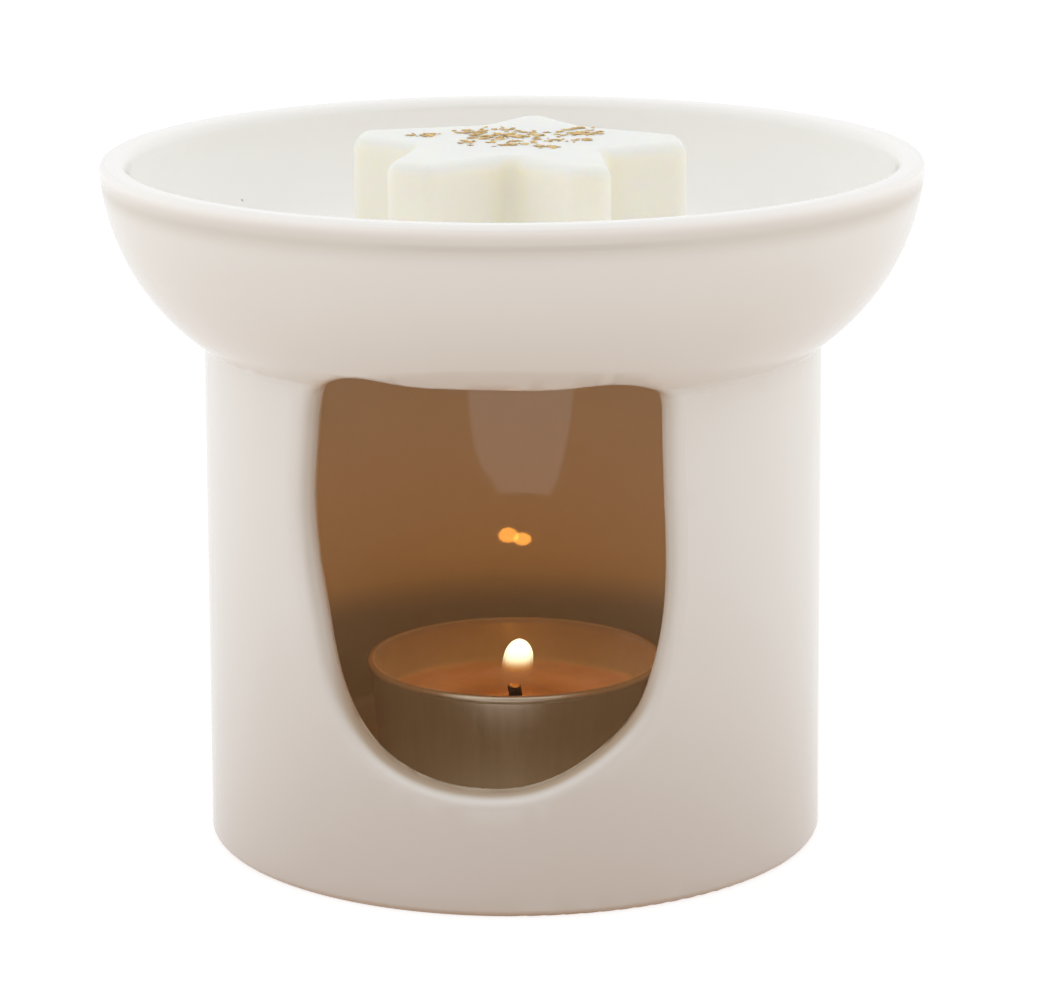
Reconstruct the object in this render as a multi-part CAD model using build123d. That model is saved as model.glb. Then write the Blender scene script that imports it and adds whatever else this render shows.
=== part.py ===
from build123d import *
import math
import os

# Ceramic body, mm. Z is up, the origin is the middle of the foot and the opening faces -Y
total_height = 87.2
base_radius = 39.3
neck_height = 64.1
neck_narrowing = 0.3
rim_radius = 51.6
bowl_bulge = 3.2
crease_round = 1.3
base_round = 1.0
lip_width = 3.5
lip_outer_round = 1.0
lip_inner_round = 1.6
wall_thickness = 4.3
bowl_depth = 15.4
bowl_inner_run = 6.9
bowl_inner_bulge = 1.9
bowl_floor_thickness = 4.3
bowl_floor_round = 9.0
chamber_floor_thickness = 4.4
chamber_ceiling_round = 1.2
chamber_floor_round = 3.0
foot_recess_depth = 1.5
foot_ring_width = 4.8
foot_recess_round = 1.0

# Hand-cut opening, mm and degrees
opening_half_width = 21.2
opening_sill_above_floor = 9.4
opening_lintel_below_ceiling = 1.3
opening_turn = 6.0
opening_outer_round = 1.8
opening_inner_round = 1.0

# The cut line seen from the front: up its right flank, left along the lintel, down and round the sill.
# Across is a share of the half width, up is a share of the height from sill to lintel
opening_line_shares = (
    (0.885, 0.212),
    (1.0, 0.43),
    (1.0, 0.68),
    (0.985, 0.89),
    (0.95, 0.96),
    (0.86, 0.985),
    (0.50, 0.99),
    (0.0, 0.99),
    (-0.45, 0.995),
    (-0.76, 1.0),
    (-0.89, 0.965),
    (-0.965, 0.85),
    (-0.995, 0.65),
    (-0.915, 0.385),
    (-0.815, 0.21),
    (-0.62, 0.088),
    (-0.30, 0.018),
    (0.0, 0.0),
    (0.29, 0.012),
    (0.62, 0.082),
)

# Tealight cup, mm
cup_rim_radius = 19.0
cup_base_radius = 17.3
cup_height = 16.0
cup_wall = 0.3
cup_bead_height = 1.1
cup_bead_width = 0.5
cup_base_round = 1.2
cup_centre_y = 0.0

# Candle in the cup, mm
wax_below_rim = 5.9
wax_clearance = 0.1
wick_radius = 0.95
wick_above_wax = 2.3
wick_tip_round = 0.3
wick_clearance = 0.05
sustainer_radius = 6.5
sustainer_thickness = 0.4
sustainer_neck_wall = 0.35
sustainer_neck_height = 3.0
sustainer_clearance = 0.1

# Star-shaped wax melt, mm
melt_reach = 22.0
melt_height = 16.8
melt_tip_round = 2.3
melt_notch_round = 1.6
melt_top_round = 1.8
melt_base_round = 0.6

# Corners of the star as shares of its reach, anticlockwise from the back arm
melt_corner_shares = (
    (0.05, 1.10),
    (0.21, 1.11),
    (0.43, 0.68),
    (0.985, 0.32),
    (1.0, 0.0),
    (0.525, -0.25),
    (0.555, -0.93),
    (0.31, -0.84),
    (-0.005, -0.46),
    (-0.46, -0.80),
    (-0.71, -0.66),
    (-0.565, 0.0),
    (-0.92, 0.27),
    (-0.895, 0.57),
    (-0.20, 0.73),
)
melt_notch_places = (2, 5, 8, 11, 14)

# Gold flecks on the star: thickness and size, mm, and places as shares of the star's reach
flake_thickness = 0.12
flake_size = 1.7
flake_place_shares = (
    (-0.56, 0.30),
    (-0.43, 0.30),
    (-0.27, 0.06),
    (-0.22, 0.42),
    (-0.14, 0.30),
    (-0.09, 0.19),
    (0.0, 0.52),
    (0.03, 0.24),
    (0.05, 0.02),
    (-0.05, -0.04),
    (0.13, 0.36),
    (0.21, 0.06),
    (0.21, -0.16),
    (0.36, 0.36),
    (0.43, 0.34),
    (0.40, 0.52),
    (0.41, 0.12),
)
flake_reach_shares = (0.45, 0.7, 0.85, 1.2, 1.1, 0.8, 0.9, 1.3, 0.6, 0.7, 0.8, 1.1, 0.75, 1.2, 0.9, 0.6, 0.5)
flake_outline_shares = ((1.0, 0.0), (0.55, 0.62), (-0.15, 0.48), (-0.8, 0.66), (-0.95, -0.1), (-0.3, -0.58), (0.5, -0.5))
flake_turn_step = 137.5

# Overrun for cuts, mm
cut_overrun = 2.0

standing = (Align.CENTER, Align.CENTER, Align.MIN)
neck_radius = base_radius - neck_narrowing
inner_lip_radius = rim_radius - lip_width
bowl_foot_radius = inner_lip_radius - bowl_inner_run
bowl_floor_z = total_height - bowl_depth
chamber_ceiling_z = bowl_floor_z - bowl_floor_thickness
chamber_floor_z = foot_recess_depth + chamber_floor_thickness
chamber_radius = neck_radius - wall_thickness
opening_sill_z = chamber_floor_z + opening_sill_above_floor
opening_lintel_z = chamber_ceiling_z - opening_lintel_below_ceiling
cup_floor_z = chamber_floor_z + cup_wall
cup_rim_z = chamber_floor_z + cup_height
cup_shoulder_radius = cup_rim_radius - cup_bead_width
wax_top_z = cup_rim_z - wax_below_rim
wick_foot_z = cup_floor_z + sustainer_thickness
wick_tip_z = wax_top_z + wick_above_wax
melt_top_z = bowl_floor_z + melt_height


def turned(section):
    """Turns a section drawn in X and Z about the upright axis."""
    return revolve(section, axis=Axis.Z)


def in_xz(*edges):
    """Stands a closed outline drawn in X and Y upright, so that its Y is up."""
    return Plane.XZ * make_face(list(edges))


def corner_at(shape, across, up):
    """Finds the corner of an upright section nearest to a place."""
    return shape.vertices().sort_by_distance(Vector(across, 0, up))[0]


def radius_of(edge):
    """How far the middle of an edge lies from the upright axis."""
    middle = edge.position_at(0.5)
    return math.hypot(middle.X, middle.Y)


def body_section():
    """The outside of the body and the inside of its bowl, from the axis outwards."""
    section = in_xz(
        Polyline((0, bowl_floor_z), (0, 0), (base_radius, 0), (neck_radius, neck_height)),
        SagittaArc((neck_radius, neck_height), (rim_radius, total_height), -bowl_bulge),
        Line((rim_radius, total_height), (inner_lip_radius, total_height)),
        SagittaArc((inner_lip_radius, total_height), (bowl_foot_radius, bowl_floor_z), bowl_inner_bulge),
        Line((bowl_foot_radius, bowl_floor_z), (0, bowl_floor_z)),
    )
    section = fillet(corner_at(section, base_radius, 0), base_round)
    section = fillet(corner_at(section, neck_radius, neck_height), crease_round)
    section = fillet(corner_at(section, rim_radius, total_height), lip_outer_round)
    section = fillet(corner_at(section, inner_lip_radius, total_height), lip_inner_round)
    return fillet(corner_at(section, bowl_foot_radius, bowl_floor_z), bowl_floor_round)


def chamber():
    """The round room for the tealight, with rounded corners at its floor and ceiling."""
    section = in_xz(
        Polyline(
            (0, chamber_floor_z),
            (chamber_radius, chamber_floor_z),
            (chamber_radius, chamber_ceiling_z),
            (0, chamber_ceiling_z),
            (0, chamber_floor_z),
        )
    )
    section = fillet(corner_at(section, chamber_radius, chamber_floor_z), chamber_floor_round)
    section = fillet(corner_at(section, chamber_radius, chamber_ceiling_z), chamber_ceiling_round)
    return turned(section)


def foot_recess():
    """The shallow recess under the floor that leaves a ring to stand on."""
    radius = base_radius - foot_ring_width
    section = in_xz(
        Polyline(
            (0, -cut_overrun),
            (radius, -cut_overrun),
            (radius, foot_recess_depth),
            (0, foot_recess_depth),
            (0, -cut_overrun),
        )
    )
    return turned(fillet(corner_at(section, radius, foot_recess_depth), foot_recess_round))


def opening_cut():
    """The hand-cut line pushed through the front wall, turned a little to the left."""
    height = opening_lintel_z - opening_sill_z
    line = [(across * opening_half_width, opening_sill_z + up * height) for across, up in opening_line_shares]
    outline = in_xz(Spline(line, periodic=True))
    return Rot(0, 0, -opening_turn) * extrude(outline, amount=rim_radius + cut_overrun)


def warmer_body():
    """One glazed casting: foot ring, wall with its opening, and flared bowl."""
    casting = turned(body_section()) - chamber() - foot_recess()
    cut = opening_cut()
    body = casting - cut
    rims = new_edges(casting, cut, combined=body)
    middle_of_wall = (chamber_radius + neck_radius) / 2
    outer_rim = ShapeList(rim for rim in rims if radius_of(rim) > middle_of_wall)
    body = fillet(outer_rim, opening_outer_round)
    rims = new_edges(casting, cut, combined=body)
    inner_rim = ShapeList(rim for rim in rims if radius_of(rim) < middle_of_wall)
    return fillet(inner_rim, opening_inner_round)


def cup_section(inset, top_z):
    """Half of the tapered cup, drawn in by an inset, from its floor up to a height."""
    lean = (cup_shoulder_radius - cup_base_radius) / cup_height
    low_z = chamber_floor_z + inset
    low_radius = cup_base_radius - inset
    top_radius = cup_base_radius + lean * (top_z - chamber_floor_z) - inset
    section = in_xz(Polyline((0, low_z), (low_radius, low_z), (top_radius, top_z), (0, top_z), (0, low_z)))
    return fillet(corner_at(section, low_radius, low_z), cup_base_round - inset)


def cup_bead():
    """The rolled band round the top of the cup."""
    low_z = cup_rim_z - cup_bead_height
    band = in_xz(
        Polyline(
            (cup_shoulder_radius - cup_wall, low_z),
            (cup_rim_radius, low_z),
            (cup_rim_radius, cup_rim_z),
            (cup_shoulder_radius - cup_wall, cup_rim_z),
            (cup_shoulder_radius - cup_wall, low_z),
        )
    )
    for up in (low_z, cup_rim_z):
        band = fillet(corner_at(band, cup_rim_radius, up), cup_bead_width / 2)
    return turned(band)


def tealight_cup():
    """The drawn cup: a thin tapered wall, a flat floor and a rolled rim."""
    outside = turned(cup_section(0, cup_rim_z)) + cup_bead()
    return outside - turned(cup_section(cup_wall, cup_rim_z + cut_overrun))


def wick_sustainer():
    """The disc with a neck that grips the foot of the wick."""
    bore = wick_radius + wick_clearance
    disc = Pos(0, 0, cup_floor_z) * Cylinder(sustainer_radius, sustainer_thickness, align=standing)
    neck = Pos(0, 0, cup_floor_z) * Cylinder(bore + sustainer_neck_wall, sustainer_neck_height, align=standing)
    hole = Pos(0, 0, wick_foot_z) * Cylinder(bore, sustainer_neck_height, align=standing)
    return disc + neck - hole


def wick():
    """The wick, from the disc up to its charred tip."""
    rod = Cylinder(wick_radius, wick_tip_z - wick_foot_z, align=standing)
    return Pos(0, 0, wick_foot_z) * fillet(rod.edges().group_by(Axis.Z)[-1], wick_tip_round)


def tealight_wax():
    """The wax, with room in it for the disc, its neck and the wick."""
    wax = turned(cup_section(cup_wall + wax_clearance, wax_top_z))
    neck_radius_out = wick_radius + wick_clearance + sustainer_neck_wall + sustainer_clearance
    neck_top = sustainer_neck_height + sustainer_clearance
    pocket = Cylinder(
        sustainer_radius + sustainer_clearance, sustainer_thickness + sustainer_clearance, align=standing
    )
    bore = Cylinder(wick_radius + wick_clearance, cup_height, align=standing)
    inner = pocket + Cylinder(neck_radius_out, neck_top, align=standing) + bore
    return wax - Pos(0, 0, cup_floor_z) * inner


def melt_outline():
    """The star with its blunt arms, seen from above."""
    corners = [(across * melt_reach, back * melt_reach) for across, back in melt_corner_shares]
    star = make_face(Polyline(*corners, close=True))
    for place, (across, back) in enumerate(corners):
        corner = star.vertices().sort_by_distance(Vector(across, back, 0))[0]
        star = fillet(corner, melt_notch_round if place in melt_notch_places else melt_tip_round)
    return star


def wax_melt():
    """The star, with softly rounded top edges, standing on the bowl's floor."""
    star = extrude(melt_outline(), amount=melt_height)
    star = fillet(star.edges().group_by(Axis.Z)[-1], melt_top_round)
    star = fillet(star.edges().group_by(Axis.Z)[0], melt_base_round)
    return Pos(0, 0, bowl_floor_z) * star


def gold_flakes():
    """Thin flecks of leaf, each lying flat on the star."""
    flakes = []
    for count, ((across, back), share) in enumerate(zip(flake_place_shares, flake_reach_shares)):
        reach = flake_size * share / 2
        outline = [(x * reach, y * reach) for x, y in flake_outline_shares]
        fleck = extrude(make_face(Polyline(*outline, close=True)), amount=flake_thickness)
        place = Pos(across * melt_reach, back * melt_reach, melt_top_z)
        flakes.append(place * Rot(0, 0, count * flake_turn_step) * fleck)
    return Compound(children=flakes)


cup_place = Pos(0, cup_centre_y, 0)
parts = {
    "warmer_body": warmer_body(),
    "wax_melt": wax_melt(),
    "gold_flakes": gold_flakes(),
    "tealight_cup": cup_place * tealight_cup(),
    "tealight_wax": cup_place * tealight_wax(),
    "wick": cup_place * wick(),
    "wick_sustainer": cup_place * wick_sustainer(),
}

os.makedirs("parts", exist_ok=True)
for name, shape in parts.items():
    export_step(shape, f"parts/{name}.step")
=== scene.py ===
import math

import bmesh
import bpy
import numpy as np
from mathutils import Matrix, Vector
from mathutils.bvhtree import BVHTree
from mathutils.interpolate import poly_3d_calc


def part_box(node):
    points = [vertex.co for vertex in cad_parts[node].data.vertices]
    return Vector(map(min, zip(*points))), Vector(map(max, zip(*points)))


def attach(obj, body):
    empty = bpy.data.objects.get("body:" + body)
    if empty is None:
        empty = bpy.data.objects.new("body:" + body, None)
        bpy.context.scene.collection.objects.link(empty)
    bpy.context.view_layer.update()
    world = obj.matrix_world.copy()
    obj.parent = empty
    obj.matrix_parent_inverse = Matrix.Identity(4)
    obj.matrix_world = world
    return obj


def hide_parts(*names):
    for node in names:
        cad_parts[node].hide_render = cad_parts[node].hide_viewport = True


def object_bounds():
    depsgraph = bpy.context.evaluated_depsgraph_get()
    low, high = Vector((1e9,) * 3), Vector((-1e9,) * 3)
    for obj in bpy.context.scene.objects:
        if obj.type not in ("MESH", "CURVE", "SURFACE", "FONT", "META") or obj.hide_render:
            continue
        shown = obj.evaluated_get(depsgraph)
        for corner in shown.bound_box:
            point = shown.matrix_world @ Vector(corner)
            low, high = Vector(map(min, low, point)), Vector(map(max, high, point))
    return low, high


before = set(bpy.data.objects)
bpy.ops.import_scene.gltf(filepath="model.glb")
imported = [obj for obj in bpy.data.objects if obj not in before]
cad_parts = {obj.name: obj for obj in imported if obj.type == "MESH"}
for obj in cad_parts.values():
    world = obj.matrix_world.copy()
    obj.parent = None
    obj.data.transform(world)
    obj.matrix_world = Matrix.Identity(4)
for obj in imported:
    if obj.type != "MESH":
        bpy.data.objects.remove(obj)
cad_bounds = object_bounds()
scene = bpy.context.scene

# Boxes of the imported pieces, metres
body_low, body_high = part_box("warmer_body")
melt_low, melt_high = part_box("wax_melt")
flakes_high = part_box("gold_flakes")[1]
cup_low, cup_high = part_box("tealight_cup")
wax_low, wax_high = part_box("tealight_wax")
wick_low, wick_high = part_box("wick")

# Camera: metres, millimetres for the lens, and degrees
camera_distance = 0.5187
camera_height = 0.17000
camera_pitch = 13.795
camera_yaw = 0.205
camera_roll = 0.25
camera_lens = 142.38

# Light tent: white all round, with a dark gap at the front where the camera stands
tent_level = 1.05
tent_colour = (1.0, 1.0, 1.0, 1.0)
gap_colour = (0.16, 0.09, 0.045, 1.0)
gap_direction = (0.07, -1.0, 0.02)
gap_inner_angle = 18.0
gap_outer_angle = 50.0
mirrored_level = 0.90

# Table: metres, and the colours that it throws back near the warmer and far from it
# Painted shadow: the near colour is darker, standing in for the warmer's own shadow on the table
table_near_painted_shadow_colour = (0.34, 0.18, 0.08, 1.0)
table_far_colour = (1.0, 0.93, 0.86, 1.0)
table_near_reach = 0.045
table_far_reach = 0.13
table_shade_y = -0.03
floor_size = 4.0
floor_shade_colour = (0.30, 0.30, 0.30, 1.0)
floor_white_level = 0.80

# Candle light: its colour and power
candle_colour = (1.0, 0.36, 0.045)
candle_power = 0.0055

# Lights in the flame: how far up it, how far across in metres, how strong, how large, and if mirrored
light_height_shares = (0.49, 0.40, 0.80)
light_places_across = (0.0009, -0.0008, 0.0004)
light_power_shares = (0.24, 0.18, 0.58)
light_radii = (0.00125, 0.00105, 0.0020)
light_mirrored = (True, True, False)

# Meshes: metres, and shares that say what counts as bent, bulged and trusted
least_length = 1e-12
least_square = 1e-14
weld_reach = 0.000001
cutting_rounds = 6
straight_share = 0.985
bent_cuts = 3
bulge_share = 0.5
bulge_most = 0.00005
trusted_share = 0.97
edge_radius = 0.001
line_steps = 4

# Noise: the part of its range that goes from none to all
cloud_low_share = 0.3
cloud_high_share = 0.7

# Glazed body: metres, counts, and the neck as a share of the rim's radius
neck_share = 0.756
wall_thickness = 0.0043
body_longest_edge = 0.0028
body_wave_lengths = (0.034, 0.023, 0.017)
body_wave_depth = 0.00005
body_seed = 11
foot_flat_height = 0.004
rim_zone = 0.0033
rim_mark_count = 50
rim_mark_decimals = 5

# Glaze: metres, colours, roughness, and shares of the specks' spacing
glaze_refraction = 1.5
glaze_cloud_size = 0.030
glaze_gloss_size = 0.009
glaze_roughness = (0.03, 0.06)
glaze_wave_length = 0.020
glaze_wave_depth = 0.00014
glaze_pale_colour = (0.890, 0.886, 0.868, 1.0)
glaze_deep_colour = (0.875, 0.866, 0.840, 1.0)
# Painted light: the bowl's inside and the rim's top, where they face up, lighter than the glaze elsewhere
bowl_painted_light_colour = (0.965, 0.96, 0.94, 1.0)
bowl_tilt_shares = (0.2, 0.9)
# Painted shade: the opening's cut edges darker, and less so further up
cut_edge_painted_shade_colour = (0.57, 0.48, 0.37, 1.0)
cut_edge_painted_shade_upper_share = 0.4
# Painted shade: the chamber's wall darker and warmer than the glaze outside
chamber_painted_shade_colour = (0.745, 0.68, 0.55, 1.0)
lip_groove_below_rim = 0.0022
lip_groove_reach = 0.0009
lip_groove_depth = 0.00025
# Painted shade: a darker band round the lip's outside, below the rim
lip_painted_shade_below_rim = 0.0029
lip_painted_shade_reach = 0.0013
lip_painted_shade_colour = (0.76, 0.725, 0.67, 1.0)
# Painted highlight: a brighter band on the lip's outside, just below the rim
lip_painted_highlight_below_rim = 0.0007
lip_painted_highlight_reach = 0.0009
lip_painted_highlight_colour = (0.985, 0.98, 0.965, 1.0)
speck_spacing = 0.014
speck_core_share = 0.010
speck_edge_share = 0.018
speck_strength_share = 0.6
speck_colour = (0.22, 0.15, 0.10, 1.0)
bare_low = 0.00010
bare_high = 0.0004
bare_colour = (0.74, 0.66, 0.54, 1.0)
bare_roughness = 0.8

# Star-shaped melt: metres, colours and roughness
melt_longest_edge = 0.0008
melt_wave_lengths = (0.017, 0.011, 0.0065, 0.0042)
melt_wave_depth = 0.00014
melt_seed = 23
melt_soft_rounds = 36
melt_glow_reach = 0.003
melt_cloud_size = 0.008
melt_gloss_size = 0.004
melt_roughness = (0.34, 0.5)
melt_grain_size = 0.0011
melt_grain_depth = 0.00003
# Painted light: the star cooler on top and yellower lower down and on its sides
melt_top_painted_light_colour = (0.86, 0.88, 0.85, 1.0)
melt_low_painted_light_colour = (0.97, 0.92, 0.76, 1.0)
melt_side_painted_light_colour = (0.985, 0.945, 0.83, 1.0)
# Painted shade: yellower in the creases between the star's points
melt_hollow_painted_shade_colour = (0.97, 0.91, 0.70, 1.0)
melt_hollow_painted_shade_share = 0.35

# Gold leaf: metres, bits for each metre of a packed fleck's width, colours and roughness
leaf_seed = 41
leaf_bits_for_size = 9500.0
leaf_corners = 9
leaf_reach_low = 0.00020
leaf_reach_high = 0.00085
leaf_fleck_width = 0.0022
leaf_least_share = 0.6
leaf_spread_share = 1.8
leaf_level_share = 0.96
leaf_thickness = 0.00002
leaf_crumple = 0.00010
leaf_cloud_size = 0.0012
leaf_gloss_size = 0.0007
leaf_roughness = (0.3, 0.5)
leaf_bright_colour = (0.90, 0.65, 0.24, 1.0)
leaf_dark_colour = (0.50, 0.28, 0.06, 1.0)

# Tealight's cup: metres, colours and roughness
cup_segments = 240
cup_wall = 0.00030
cup_bead_height = 0.0011
cup_bead_width = 0.0005
cup_base_share = 0.9105
cup_line_depth = 0.000004
cup_line_count = 96
cup_seed = 5
cup_streak_size = 0.0009
cup_streak_shares = (1.0, 1.0, 0.05)
cup_streak_depth = 0.000002
cup_roughness = (0.36, 0.44)
# Painted reflection: the foil's streak colours are tinted warm, as the candle-lit chamber shows in it
cup_dark_streak_painted_reflection_colour = (0.74, 0.63, 0.49, 1.0)
cup_pale_streak_painted_reflection_colour = (0.77, 0.66, 0.52, 1.0)

# Candle wax: metres, colours and roughness
wax_segments = 160
wax_edge_rise = 0.00055
wax_edge_reach = 0.0016
wax_wick_rise = 0.00040
wax_wick_reach = 0.0011
wax_dish = 0.00018
wax_film_thickness = 0.00012
wax_film_below_rim = 0.00012
wax_film_sway = 0.00003
wax_refraction = 1.44
wax_glow_reach = 0.004
wax_cloud_size = 0.006
wax_gloss_size = 0.003
wax_roughness = (0.30, 0.45)
wax_grain_size = 0.002
wax_grain_depth = 0.00003
wax_pale_colour = (0.64, 0.48, 0.37, 1.0)
wax_deep_colour = (0.59, 0.44, 0.33, 1.0)
# Painted shade: the wax darker near the wick
wax_painted_shade_low = 0.0045
wax_painted_shade_high = 0.0144
wax_painted_shade_colour = (0.145, 0.095, 0.08, 1.0)

# Wick: metres, colours and roughness
wick_segments = 40
wick_rings = 60
wick_braid_depth = 0.00011
wick_braid_turn = 0.0032
wick_lobe_height = 0.00055
wick_lobe_rings = 8
wick_cloud_size = 0.0005
wick_grain_size = 0.0004
wick_grain_depth = 0.0001
wick_roughness = (0.7, 0.95)
wick_black_colour = (0.004, 0.003, 0.003, 1.0)
wick_grey_colour = (0.015, 0.011, 0.009, 1.0)
wick_tip_height = 0.0007
wick_tip_colour = (0.025, 0.006, 0.004, 1.0)
wick_tip_share = 0.7

# Disc under the wick: metres, colours and roughness
steel_cloud_size = 0.002
steel_gloss_size = 0.001
steel_roughness = (0.25, 0.45)
steel_dark_colour = (0.55, 0.55, 0.56, 1.0)
steel_pale_colour = (0.66, 0.66, 0.67, 1.0)

# Flame: metres, levels of its glow, and shares of its height, width and density
flame_segments = 40
flame_half_width = 0.0020
flame_lean = 0.0006
flame_low_below_wick = 0.0016
flame_high_above_cup = 0.0022
flame_low = wick_high.z - flame_low_below_wick
flame_high = cup_high.z + flame_high_above_cup
flame_shell_shares = (1.0, 0.80, 0.58)
flame_rise_shares = (0.31, 0.88)
flame_foot_colour = (1.0, 0.46, 0.24, 1.0)
flame_warm_colour = (1.0, 0.42, 0.08, 1.0)
flame_hot_colour = (1.0, 0.86, 0.52, 1.0)
flame_warm_shares = (0.0, 0.25)
flame_hot_shares = (0.2, 0.7)
flame_foot_level = 0.45
flame_added_level = 1.6
flame_veil_share = 0.02
flame_dense_share = 0.6

# Flame's half width, as a share, at shares of its height
flame_line_shares = (
    (0.0, 0.55),
    (0.06, 0.95),
    (0.16, 1.16),
    (0.30, 1.20),
    (0.42, 1.05),
    (0.56, 1.00),
    (0.74, 0.92),
    (0.86, 0.74),
    (0.94, 0.50),
    (0.985, 0.22),
    (1.0, 0.04),
)


# Arrays and meshes


def smooth(low, high, values):
    """0 below low, 1 above high, and a soft step between."""
    share = np.clip((values - low) / (high - low), 0, 1)
    return share * share * (3 - 2 * share)


def unit(vectors):
    """Each row brought to a length of 1."""
    return vectors / np.maximum(np.linalg.norm(vectors, axis=1, keepdims=True), least_length)


def new_piece(name, mesh, material):
    """An object for a finished mesh, with its material, shaded smooth."""
    piece = bpy.data.objects.new(name, mesh)
    scene.collection.objects.link(piece)
    mesh.materials.clear()
    mesh.materials.append(material)
    if not mesh.has_custom_normals:
        mesh.shade_smooth()
    return piece


def coordinates(mesh):
    """The mesh's points as an array."""
    places = np.zeros(len(mesh.vertices) * 3)
    mesh.vertices.foreach_get("co", places)
    return places.reshape(-1, 3)


def set_coordinates(mesh, places):
    """Puts the mesh's points where an array says."""
    mesh.vertices.foreach_set("co", places.astype(np.float32).ravel())
    mesh.update()


def edge_ends(mesh):
    """The two points of each edge, as an array."""
    ends = np.zeros(len(mesh.edges) * 2, int)
    mesh.edges.foreach_get("vertices", ends)
    return ends.reshape(-1, 2)


def face_normals(mesh):
    """The normal at each point that the faces about it give."""
    facing = np.zeros(len(mesh.vertices) * 3)
    mesh.vertex_normals.foreach_get("vector", facing)
    return facing.reshape(-1, 3)


def curvature(mesh, places, normals):
    """How sharply the surface bends at each point, per metre: above 0 on edges, below 0 in hollows."""
    near, far = edge_ends(mesh).T
    reach = places[far] - places[near]
    square = np.maximum(np.sum(reach**2, axis=1), least_square)
    bend = np.sum((normals[far] - normals[near]) * reach, axis=1) / square
    total = np.zeros(len(places))
    most = np.zeros(len(places))
    for end in (near, far):
        np.maximum.at(most, end, bend)
        np.minimum.at(total, end, bend)
    return np.where(most > -total, most, total)


class CadSurface:
    """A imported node's surface, curved between its corners: its nearest point and the normal there."""

    def __init__(self, node):
        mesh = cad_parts[node].data
        mesh.calc_loop_triangles()
        self.places = [vertex.co.copy() for vertex in mesh.vertices]
        self.corners = [tuple(triangle.vertices) for triangle in mesh.loop_triangles]
        self.normals = [
            tuple(mesh.corner_normals[loop].vector.copy() for loop in triangle.loops)
            for triangle in mesh.loop_triangles
        ]
        self.tree = BVHTree.FromPolygons(self.places, self.corners)

    def nearest(self, places):
        """The nearest surface points and their normals, for an array of points."""
        found = np.zeros_like(places)
        normals = np.zeros_like(places)
        for row, place in enumerate(places):
            point, _, index, _ = self.tree.find_nearest(Vector(place))
            shares = poly_3d_calc([self.places[corner] for corner in self.corners[index]], point)
            bulge = Vector()
            for share, corner, normal in zip(shares, self.corners[index], self.normals[index]):
                bulge -= normal * (normal.dot(point - self.places[corner]) * share * bulge_share)
                normals[row] += share * np.array(normal)
            found[row] = point + bulge if bulge.length < bulge_most else point
        return found, unit(normals)


def soft_waves(places, normals, lengths, seed):
    """Uneven height between 0 and 1, as hand work leaves it, and its slope across the surface."""
    chance = np.random.default_rng(seed)
    height = np.zeros(len(places))
    slope = np.zeros_like(places)
    waves = [length for length in lengths for _ in range(3)]
    for length in waves:
        direction = unit(chance.normal(size=(1, 3)))[0]
        turn = 2 * math.pi / length
        phase = places @ direction * turn + chance.uniform(0, 2 * math.pi)
        height += np.sin(phase) / len(waves)
        slope += np.cos(phase)[:, None] * direction * turn / len(waves)
    slope -= normals * np.sum(slope * normals, axis=1, keepdims=True)
    return (1 + height) / 2, slope / 2


def finely_cut(node, longest):
    """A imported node's mesh, welded, with its bent and its long edges cut."""
    work = bmesh.new()
    work.from_mesh(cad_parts[node].data)
    bmesh.ops.remove_doubles(work, verts=work.verts, dist=weld_reach)
    work.normal_update()
    bent = [edge for edge in work.edges if edge.verts[0].normal.dot(edge.verts[1].normal) < straight_share]
    bmesh.ops.subdivide_edges(work, edges=bent, cuts=bent_cuts)
    bmesh.ops.triangulate(work, faces=[face for face in work.faces if len(face.verts) > 3])
    for _ in range(cutting_rounds):
        long_edges = [edge for edge in work.edges if edge.calc_length() > longest]
        bmesh.ops.subdivide_edges(work, edges=long_edges, cuts=1)
        bmesh.ops.triangulate(work, faces=[face for face in work.faces if len(face.verts) > 3])
    mesh = bpy.data.meshes.new(node)
    work.to_mesh(mesh)
    work.free()
    return mesh


def write_attribute(mesh, name, values):
    """Keeps a number for each point, which the material reads by its name."""
    kept = mesh.attributes.new(name, "FLOAT", "POINT")
    kept.data.foreach_set("value", values.astype(np.float32))


def spread_out(mesh, values, rounds):
    """Lets each point's value flow into its neighbours, a number of times."""
    near, far = edge_ends(mesh).T
    count = np.bincount(near, minlength=len(values)) + np.bincount(far, minlength=len(values))
    for _ in range(rounds):
        total = np.bincount(near, values[far], len(values)) + np.bincount(far, values[near], len(values))
        values = (values + total / count) / 2
    return values


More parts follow.
